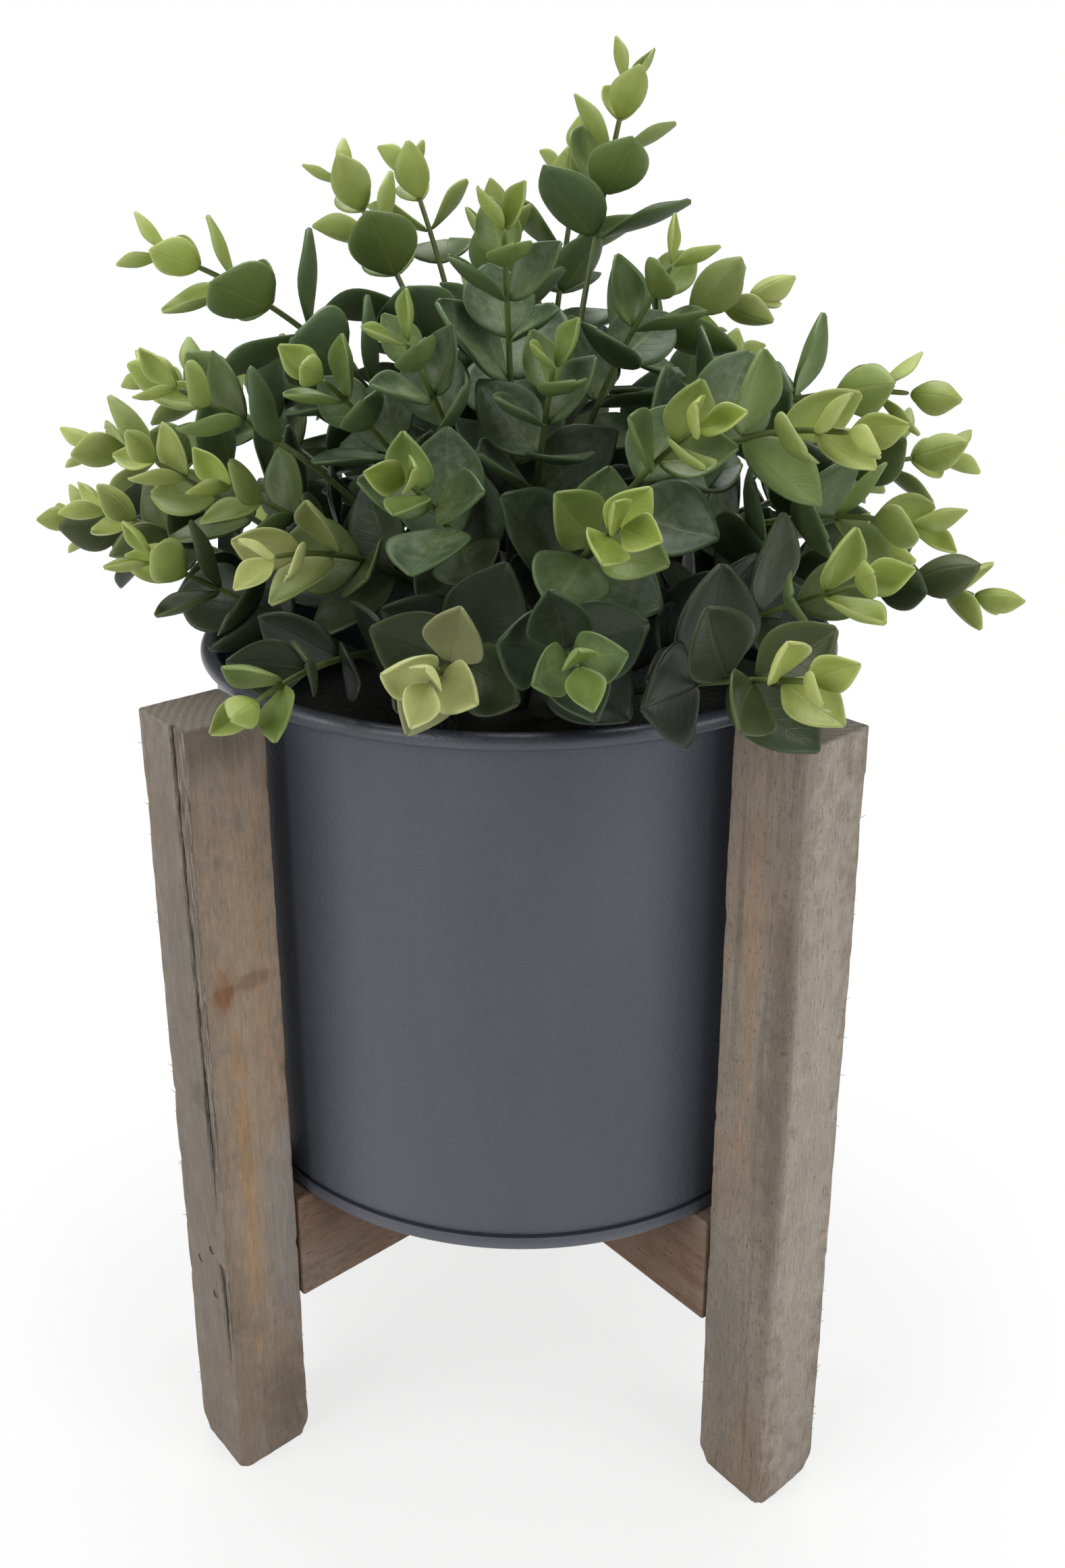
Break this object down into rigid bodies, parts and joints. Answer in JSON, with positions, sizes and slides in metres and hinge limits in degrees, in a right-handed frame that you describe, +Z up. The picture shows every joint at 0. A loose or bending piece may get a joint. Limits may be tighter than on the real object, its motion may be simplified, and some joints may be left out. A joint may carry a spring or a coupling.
{
  "type": "planter with stand",
  "caption": "Round sheet-metal pot with a rolled rim, standing loose in a wooden stand of square legs and a halved cross, with an artificial evergreen bush that lifts out.",
  "frame": {"origin": "on the floor under the pot's axis, midway between the legs", "axes": "+Z up; -Y is the front, the side the picture shows; the legs stand on the diagonals between X and Y"},
  "size_m": [0.2677, 0.2519, 0.3431],
  "materials": {
    "weathered_wood": "matte",
    "rail_wood": "matte",
    "brad_steel": "satin",
    "slate_coat": "satin",
    "foam": "matte",
    "stem_plastic": "matte",
    "leaf_plastic": "satin"
  },
  "bodies": {
    "stand": {"leg_front_right": "weathered_wood", "leg_back_right": "weathered_wood", "leg_back_left": "weathered_wood", "leg_front_left": "weathered_wood", "cross_rail_lower": "rail_wood", "cross_rail_upper": "rail_wood", "leg_brads": "brad_steel"},
    "pot": {"pot_wall": "slate_coat", "pot_base": "slate_coat"},
    "plant": {"foam_plug": "foam", "stem_collar": "stem_plastic", "sprig_01": "leaf_plastic", "sprig_02": "leaf_plastic", "sprig_03": "leaf_plastic", "sprig_04": "leaf_plastic", "sprig_05": "leaf_plastic", "sprig_06": "leaf_plastic", "sprig_07": "leaf_plastic", "sprig_08": "leaf_plastic", "sprig_09": "leaf_plastic", "sprig_10": "leaf_plastic", "sprig_11": "leaf_plastic", "sprig_12": "leaf_plastic", "sprig_13": "leaf_plastic", "sprig_14": "leaf_plastic", "sprig_15": "leaf_plastic", "sprig_16": "leaf_plastic", "sprig_17": "leaf_plastic", "sprig_18": "leaf_plastic", "sprig_19": "leaf_plastic", "sprig_20": "leaf_plastic", "sprig_21": "leaf_plastic", "sprig_22": "leaf_plastic", "sprig_23": "leaf_plastic", "sprig_24": "leaf_plastic", "sprig_25": "leaf_plastic", "sprig_26": "leaf_plastic", "sprig_27": "leaf_plastic", "sprig_28": "leaf_plastic", "sprig_29": "leaf_plastic", "sprig_30": "leaf_plastic", "sprig_31": "leaf_plastic", "sprig_32": "leaf_plastic", "sprig_33": "leaf_plastic", "sprig_34": "leaf_plastic", "sprig_35": "leaf_plastic", "sprig_36": "leaf_plastic", "sprig_37": "leaf_plastic", "sprig_38": "leaf_plastic", "sprig_39": "leaf_plastic", "sprig_40": "leaf_plastic", "sprig_41": "leaf_plastic", "sprig_42": "leaf_plastic", "sprig_43": "leaf_plastic", "sprig_44": "leaf_plastic"}
  },
  "joints": [
    {"name": "pot_lift", "type": "slide", "parent": "stand", "child": "pot", "axis": [0, 0, 1], "range_m": [0, 0.14]},
    {"name": "plant_lift", "type": "slide", "parent": "pot", "child": "plant", "axis": [0, 0, 1], "range_m": [0, 0.14]}
  ]
}
